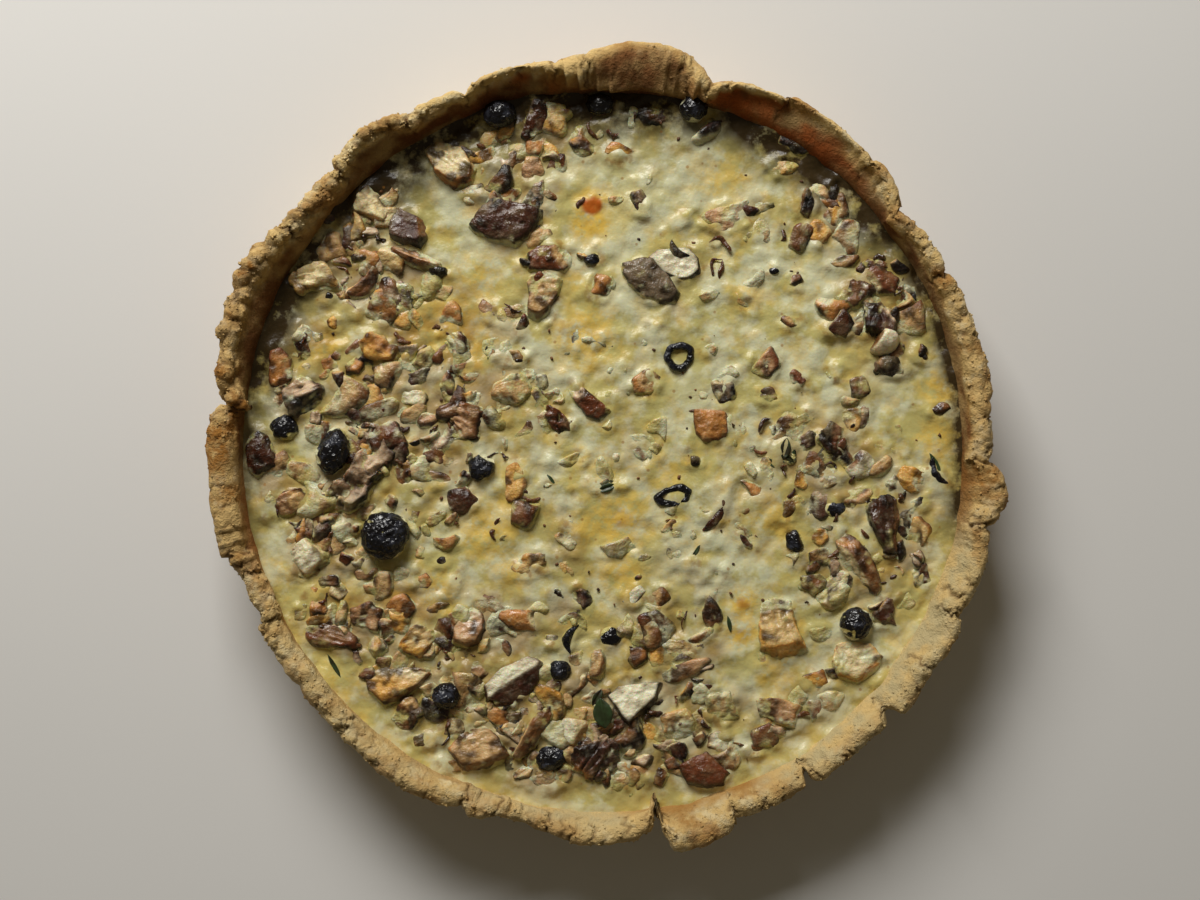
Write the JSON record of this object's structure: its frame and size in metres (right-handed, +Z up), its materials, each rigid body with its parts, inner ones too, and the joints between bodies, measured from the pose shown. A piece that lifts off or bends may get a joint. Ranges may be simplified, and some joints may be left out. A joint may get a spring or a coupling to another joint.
{
  "type": "mushroom tart",
  "caption": "Round savoury tart: ragged hand-formed shortcrust shell filled with baked custard, studded with diced mushroom, stalks and black olives.",
  "frame": {"origin": "middle of the bounding box in plan, at the flat underside of the crust", "axes": "+Z up, out of the filling; +Y towards the far side, where the rim stands tallest; +X to the right"},
  "size_m": [0.286, 0.2884, 0.042],
  "materials": {
    "crust": "dry, crumbly shortcrust, baked golden",
    "custard": "baked egg custard, soft sheen, browned in patches",
    "mushroom_dark": "wrinkled mushroom skin, satin",
    "mushroom_red": "red-brown mushroom skin, satin",
    "mushroom_grey": "grey mushroom skin, satin",
    "mushroom_gold": "roasted golden mushroom flesh, moist",
    "mushroom_tan": "tan mushroom flesh, moist",
    "mushroom_cream": "cream mushroom flesh, matt",
    "mushroom_brown": "browned mushroom flesh, moist",
    "mushroom_gill": "purple-brown gills, matt",
    "mushroom_stalk": "brown mushroom stalk, satin",
    "olive": "black olive skin, glossy"
  },
  "bodies": {
    "root": {"crust": "crust", "custard": "custard", "cap_dark_01": "mushroom_dark", "cap_dark_02": "mushroom_dark", "cap_dark_03": "mushroom_dark", "cap_dark_04": "mushroom_dark", "cap_dark_05": "mushroom_dark", "cap_dark_06": "mushroom_dark", "cap_dark_07": "mushroom_dark", "cap_dark_08": "mushroom_dark", "cap_red_01": "mushroom_red", "cap_red_02": "mushroom_red", "cap_red_03": "mushroom_red", "cap_red_04": "mushroom_red", "cap_red_05": "mushroom_red", "cap_red_06": "mushroom_red", "cap_red_07": "mushroom_red", "cap_grey_01": "mushroom_grey", "dice_gold_01": "mushroom_gold", "dice_gold_02": "mushroom_gold", "dice_gold_03": "mushroom_gold", "dice_gold_04": "mushroom_gold", "dice_gold_05": "mushroom_gold", "dice_tan_01": "mushroom_tan", "dice_tan_02": "mushroom_tan", "dice_tan_03": "mushroom_tan", "dice_tan_04": "mushroom_tan", "dice_tan_05": "mushroom_tan", "dice_tan_06": "mushroom_tan", "dice_cream_01": "mushroom_cream", "dice_cream_02": "mushroom_cream", "dice_cream_03": "mushroom_cream", "dice_cream_04": "mushroom_cream", "dice_cream_05": "mushroom_cream", "dice_red_01": "mushroom_brown", "dice_red_02": "mushroom_brown", "dice_red_03": "mushroom_brown", "dice_red_04": "mushroom_brown", "dice_red_05": "mushroom_brown", "wedge_gold_01": "mushroom_gold", "wedge_gold_02": "mushroom_gold", "wedge_red_01": "mushroom_brown", "wedge_red_02": "mushroom_brown", "lump_gold_01": "mushroom_gold", "lump_gold_02": "mushroom_gold", "slice_cream_01": "mushroom_cream", "slice_cream_02": "mushroom_cream", "slice_cream_03": "mushroom_cream", "gill_01": "mushroom_gill", "gill_02": "mushroom_gill", "gill_03": "mushroom_gill", "stalk_01": "mushroom_stalk", "stalk_02": "mushroom_stalk", "olive_01": "olive", "olive_02": "olive", "olive_03": "olive", "olive_04": "olive", "olive_05": "olive", "ring_01": "olive"}
  },
  "joints": []
}
